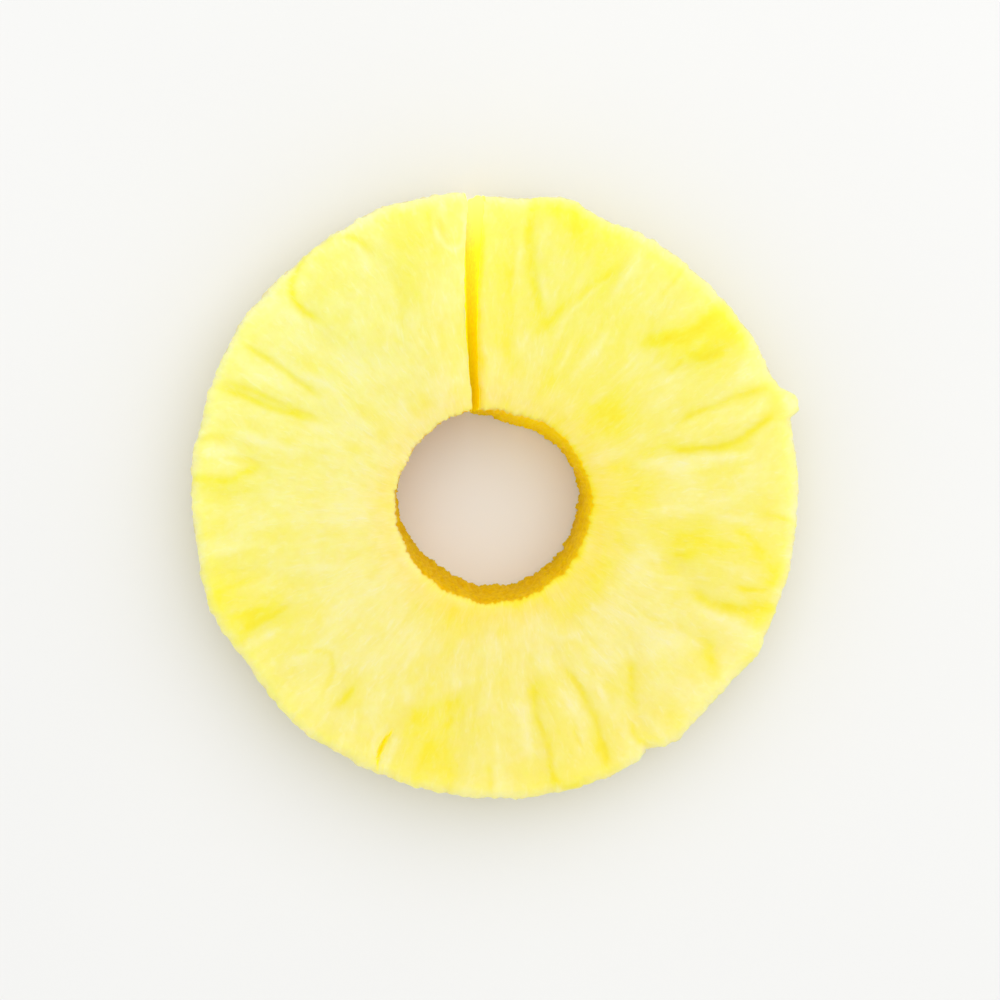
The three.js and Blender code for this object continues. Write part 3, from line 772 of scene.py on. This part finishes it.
def sum_node(tree, operation, values, x, y):
    """One sum of numbers or outputs, and its result."""
    node = add_node(tree, "ShaderNodeMath", x, y, operation=operation)
    for socket, value in zip(node.inputs, values):
        feed(tree, value, socket)
    return node.outputs["Value"]


def mix_colours(tree, share, first, second, x, y, blend_type="MIX"):
    """Two colours mixed by a share: inputs 0, 6 and 7 and output 2 of a Mix node that is set to colours."""
    node = add_node(tree, "ShaderNodeMix", x, y, data_type="RGBA", blend_type=blend_type)
    for place, value in ((0, share), (6, first), (7, second)):
        feed(tree, value, node.inputs[place])
    return node.outputs[2]


def colour_ramp(tree, share, stops, x, y):
    """A value from 0 to 1 turned into a colour, through stops of a place and a colour."""
    node = add_node(tree, "ShaderNodeValToRGB", x, y)
    tree.links.new(share, node.inputs["Fac"])
    elements = node.color_ramp.elements
    for place, colour in stops[1:-1]:
        elements.new(place)
    for element, (place, colour) in zip(elements, stops):
        element.position, element.color = place, (*colour, 1)
    return node.outputs["Color"]


# %% Node group: fine fibres
fine_fibres = bpy.data.node_groups.new("fine_fibres", "ShaderNodeTree")
sockets = fine_fibres.interface
sockets.new_socket("Grain", in_out="INPUT", socket_type="NodeSocketVector")
for name in ("Threads", "Wisps", "Clouds"):
    sockets.new_socket(name, in_out="INPUT", socket_type="NodeSocketFloat")
for name in ("Tone", "Height"):
    sockets.new_socket(name, in_out="OUTPUT", socket_type="NodeSocketFloat")
inlet = add_node(fine_fibres, "NodeGroupInput", -1200, 0)
outlet = add_node(fine_fibres, "NodeGroupOutput", 700, 0)

noises = {}
for name, across, along, slant, y in (      # bumps to a degree across and to a mm along, and slant in degrees
    ("Threads", 0.85, 0.95, 0, 500), ("Hairs", 2.4, 1.1, 0, 200), ("Wisps", 0.8, 0.4, 14, -100),
    ("Back wisps", 0.75, 0.45, -11, -400), ("Clouds", 0.14, 0.17, 0, -700),
):
    stretch = add_node(fine_fibres, "ShaderNodeMapping", -950, y, vector_type="TEXTURE")
    set_inputs(stretch, Rotation=(0, 0, radians(slant)), Scale=(1 / across, 1 / along, 1 / along))
    noise = add_node(fine_fibres, "ShaderNodeTexNoise", -700, y)
    set_inputs(noise, Scale=1.0, Detail=2.5, Roughness=0.5, Distortion=0.4)
    fine_fibres.links.new(inlet.outputs["Grain"], stretch.inputs["Vector"])
    fine_fibres.links.new(stretch.outputs["Vector"], noise.inputs["Vector"])
    noises[name] = noise.outputs["Fac"]
print("noises:", ", ".join(noises))

# %% Add up the tone and the height of the fine fibres
threads = sum_node(fine_fibres, "SUBTRACT", (noises["Threads"], 0.5), -450, 500)
clouds = sum_node(fine_fibres, "SUBTRACT", (noises["Clouds"], 0.5), -450, -700)
crossing = sum_node(fine_fibres, "MAXIMUM", (noises["Wisps"], noises["Back wisps"]), -450, -200)
strands = add_node(fine_fibres, "ShaderNodeMapRange", -250, -200, interpolation_type="SMOOTHSTEP")
set_inputs(strands, **{"From Min": 0.56, "From Max": 0.74})
fine_fibres.links.new(crossing, strands.inputs["Value"])
wisps = strands.outputs["Result"]
tone = sum_node(fine_fibres, "MULTIPLY", (threads, inlet.outputs["Threads"]), -50, 300)
tone = sum_node(fine_fibres, "MULTIPLY_ADD", (wisps, inlet.outputs["Wisps"], tone), 150, 200)
tone = sum_node(fine_fibres, "MULTIPLY_ADD", (clouds, inlet.outputs["Clouds"], tone), 350, 100)
bumps = sum_node(fine_fibres, "MULTIPLY_ADD", (noises["Hairs"], 0.5, noises["Threads"]), -50, -100)
bumps = sum_node(fine_fibres, "MULTIPLY_ADD", (wisps, 0.4, bumps), 150, -200)
fine_fibres.links.new(tone, outlet.inputs["Tone"])
fine_fibres.links.new(bumps, outlet.inputs["Height"])
print("fine fibres:", len(fine_fibres.nodes), "nodes")

# %% [markdown]
# The material adds everything up to one value, from deep and juicy to pale, and a colour ramp turns that
# value into a yellow. Its yellow leans to lemon towards the rim, and most on the side towards the light,
# which is painted light, and near the core it is a little warmer. Light scatters a short way inside, red
# furthest and blue least.

# %% Material: wet pineapple flesh
wet_flesh = bpy.data.materials.new("wet_pineapple_flesh")
wet_flesh.use_nodes = True
tree = wet_flesh.node_tree
tree.nodes.clear()
surface = add_node(tree, "ShaderNodeOutputMaterial", 1300, 0)
flesh_shader = add_node(tree, "ShaderNodeBsdfPrincipled", 1000, 0)
tree.links.new(flesh_shader.outputs["BSDF"], surface.inputs["Surface"])


def kept(name, y, output="Fac"):
    """An attribute of the flesh."""
    return add_node(tree, "ShaderNodeAttribute", -1400, y, attribute_name=name).outputs[output]


fibre_group = add_node(tree, "ShaderNodeGroup", -1150, 500, node_tree=fine_fibres)
set_inputs(fibre_group, Threads=0.2, Wisps=0.1, Clouds=0.4)
tree.links.new(kept("grain", 500, "Vector"), fibre_group.inputs["Grain"])
print("fine fibres come into", wet_flesh.name)

# %% Add up how pale the flesh is, and colour it
plain_paleness = 0.49
paleness = sum_node(tree, "ADD", (fibre_group.outputs["Tone"], plain_paleness), -900, 500)
# The opened amount paints the crevice a deeper gold, a painted shade.
paleness_weights = {"fibres": 0.18, "pale": 0.3, "juicy_and_painted_shade": -0.44, "near_hole": -0.27, "opened": -0.4}
for step, (name, weight) in enumerate(paleness_weights.items()):
    amount = kept(name, 300 - 150 * step)
    paleness = sum_node(tree, "MULTIPLY_ADD", (amount, weight, paleness), 180 * step - 700, 300)
yellows = [
    (0.0, (0.825, 0.70, 0.01)), (0.25, (0.825, 0.747, 0.055)), (0.5, (0.825, 0.76, 0.18)),
    (0.75, (0.83, 0.785, 0.33)), (1.0, (0.83, 0.80, 0.5)),
]
flesh_colour = colour_ramp(tree, paleness, yellows, 300, 200)
# The tint leans to lemon towards the rim and most on the side towards the light, where it is painted light;
# near the core it is warmer.
warm_tint, lemon_tint = (1, 0.93, 1, 1), (1, 1.07, 0.96, 1)
tint = mix_colours(tree, kept("lemon_and_painted_light", 700), warm_tint, lemon_tint, 300, 500)
tinted = mix_colours(tree, 1, flesh_colour, tint, 500, 400, blend_type="MULTIPLY")
print("flesh:", len(yellows), "yellows")

# %% [markdown]
# The walls of the hole and of the cut get a deeper gold: partly the colour of flesh wet with juice, and
# partly painted light and shade, brighter on the side nearest the light and darker towards the foot. Real
# flesh lets light through, so the two faces of the narrow cut are never dark: they glow. A shader can't carry
# light that far, so a soft golden light of their own stands in for it, strongest at the rim. The crevice and
# the brightest side of the hole's wall get a little of it too.

# %% The walls of the hole and the cut
flesh_place = add_node(tree, "ShaderNodeTexCoord", -800, -500)
wall_grain = add_node(tree, "ShaderNodeTexNoise", -600, -500)
set_inputs(wall_grain, Scale=1500.0, Detail=2.0)
tree.links.new(flesh_place.outputs["Object"], wall_grain.inputs["Vector"])
# The walls' gold runs from deep to bright by painted light and shade, broken by a fine grain.
wall_tone = sum_node(tree, "SUBTRACT", (kept("wall_painted_light_and_shade", -650), 0.6), -400, -600)
wall_tone = sum_node(tree, "MULTIPLY_ADD", (wall_grain.outputs["Fac"], 1.2, wall_tone), -200, -500)
deep_gold, bright_gold = (0.7, 0.385, 0, 1), (0.98, 0.68, 0, 1)
wall_colour = mix_colours(tree, wall_tone, deep_gold, bright_gold, 0, -400)
whole_colour = mix_colours(tree, kept("inner_wall", -700), tinted, wall_colour, 650, 200)
tree.links.new(whole_colour, flesh_shader.inputs["Base Color"])
inner_lights = [
    (0, (0, 0, 0)), (0.08, (0.13, 0.06, 0)), (0.2, (0.17, 0.17, 0)), (0.5, (0.28, 0.32, 0.002)),
    (0.75, (0.4, 0.47, 0.025)), (0.9, (0.46, 0.55, 0.19)), (1, (0.46, 0.55, 0.35)),
]
inner_light = colour_ramp(tree, kept("lit_through", -900), inner_lights, 300, -600)
tree.links.new(inner_light, flesh_shader.inputs["Emission Color"])
flesh_shader.inputs["Emission Strength"].default_value = 1.0
print("walls and inner light linked")

# %% The wet surface and the bump
roughness = sum_node(tree, "MULTIPLY_ADD", (fibre_group.outputs["Tone"], 0.4, 0.4), 300, -100)
roughness = sum_node(tree, "MULTIPLY_ADD", (kept("inner_wall", -1100), 0.3, roughness), 500, -100)
tree.links.new(roughness, flesh_shader.inputs["Roughness"])
film = sum_node(tree, "MULTIPLY_ADD", (kept("inner_wall", -1300), -0.3, 0.3), 500, -250)
tree.links.new(film, flesh_shader.inputs["Coat Weight"])
bump = add_node(tree, "ShaderNodeBump", 650, -400)
set_inputs(bump, Strength=0.2, Distance=0.0002)
tree.links.new(fibre_group.outputs["Height"], bump.inputs["Height"])
tree.links.new(bump.outputs["Normal"], flesh_shader.inputs["Normal"])
set_inputs(flesh_shader, **{
    "IOR": 1.36, "Specular IOR Level": 0.15, "Coat Roughness": 0.15, "Coat IOR": 1.33,
    "Subsurface Weight": 0.9, "Subsurface Radius": (1.0, 0.8, 0.12), "Subsurface Scale": 0.005,
})
ring_flesh.data.materials.clear()
ring_flesh.data.materials.append(wet_flesh)
print("wet flesh:", len(tree.nodes), "nodes")

# %% [markdown]
# ## The studio
#
# The ring lies on a plain white table. A large soft light hangs above it, and pale surroundings fill in the
# shadows, so that the yellow stays bright and clean. The plain view transform keeps it from turning dull.

# %% The table
bpy.ops.object.select_all(action="DESELECT")
bpy.ops.mesh.primitive_plane_add(size=3, location=(0, 0, 0))
floor = bpy.context.object
floor.name = "white_table"
white_table = bpy.data.materials.new("white_table_top")
white_table.use_nodes = True
table_tree = white_table.node_tree
table_shader = table_tree.nodes["Principled BSDF"]
table_place = add_node(table_tree, "ShaderNodeTexCoord", -850, 0)
table_speckle = add_node(table_tree, "ShaderNodeTexNoise", -600, 0)
set_inputs(table_speckle, Scale=12.0, Detail=2.0)
table_tone = add_node(table_tree, "ShaderNodeMapRange", -350, 0)
set_inputs(table_tone, **{"To Min": 0.76, "To Max": 0.79})
table_tree.links.new(table_place.outputs["Object"], table_speckle.inputs["Vector"])
table_tree.links.new(table_speckle.outputs["Fac"], table_tone.inputs["Value"])
table_tree.links.new(table_tone.outputs["Result"], table_shader.inputs["Base Color"])
table_shader.inputs["Roughness"].default_value = 0.6
floor.data.materials.append(white_table)
print("table:", round(floor.dimensions.x, 1), "m across")

# %% The soft light and the surroundings
light_place, light_watts, light_size = (0.2, 0.35, 0.75), 3.15, 1.1
bpy.ops.object.light_add(type="AREA", location=light_place)
soft_light = bpy.context.object
soft_light.name = "soft_light"
soft_light.data.shape = "RECTANGLE"
soft_light.data.size = light_size
soft_light.data.size_y = light_size
soft_light.data.energy = light_watts
soft_light.rotation_euler = (-Vector(light_place)).to_track_quat("-Z", "Y").to_euler()

surroundings = bpy.data.worlds.new("pale_surroundings")
surroundings.use_nodes = True
set_inputs(surroundings.node_tree.nodes["Background"], Color=(1.0, 1.0, 0.98, 1), Strength=0.95)
bpy.context.scene.world = surroundings
bpy.context.scene.view_settings.view_transform = "Standard"
print(f"light: {light_watts} W, {light_size} m across")

# %% [markdown]
# The camera looks almost straight down, from nearly half a metre up. It stands a little to the left of the
# hole's middle and towards the cut, so a crescent of the hole's wall shows below and to the right. Its lens
# is long, which keeps the round rim round.

# %% Camera, almost straight above
camera_place = Vector((-0.0103, 0.0072, 0.4785))
aim = Vector((0.00057, -0.00054, 0.0125))
bpy.ops.object.camera_add(location=camera_place)
camera = bpy.context.object
camera.name = "camera_above"
camera.data.lens, camera.data.sensor_width = 115.9, 36
camera.data.clip_start, camera.data.clip_end = 0.01, 10
looking = (aim - camera_place).normalized()
to_the_right = looking.cross(Vector((0, 1, 0))).normalized()
camera.rotation_euler = Matrix((to_the_right, to_the_right.cross(looking), -looking)).transposed().to_euler()
bpy.context.scene.camera = camera
print(f"camera: {camera_place.z:.2f} m up, {camera.data.lens:.1f} mm lens")

# %% [markdown]
# ## Hand the slice over
#
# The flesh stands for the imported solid, which stays behind it for physics. It rides on the one body there
# is.

# %% Tie the flesh to the frame and write its size down
floor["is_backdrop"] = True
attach(ring_flesh, "root")
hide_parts("pineapple_ring")
scene_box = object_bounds()
triangles = sum(len(face.vertices) - 2 for face in ring_flesh.data.polygons)
box_in_mm = [round(place / MM, 2) for corner in scene_box for place in corner]
print(f"ring_flesh: {triangles} triangles; box {box_in_mm} mm")
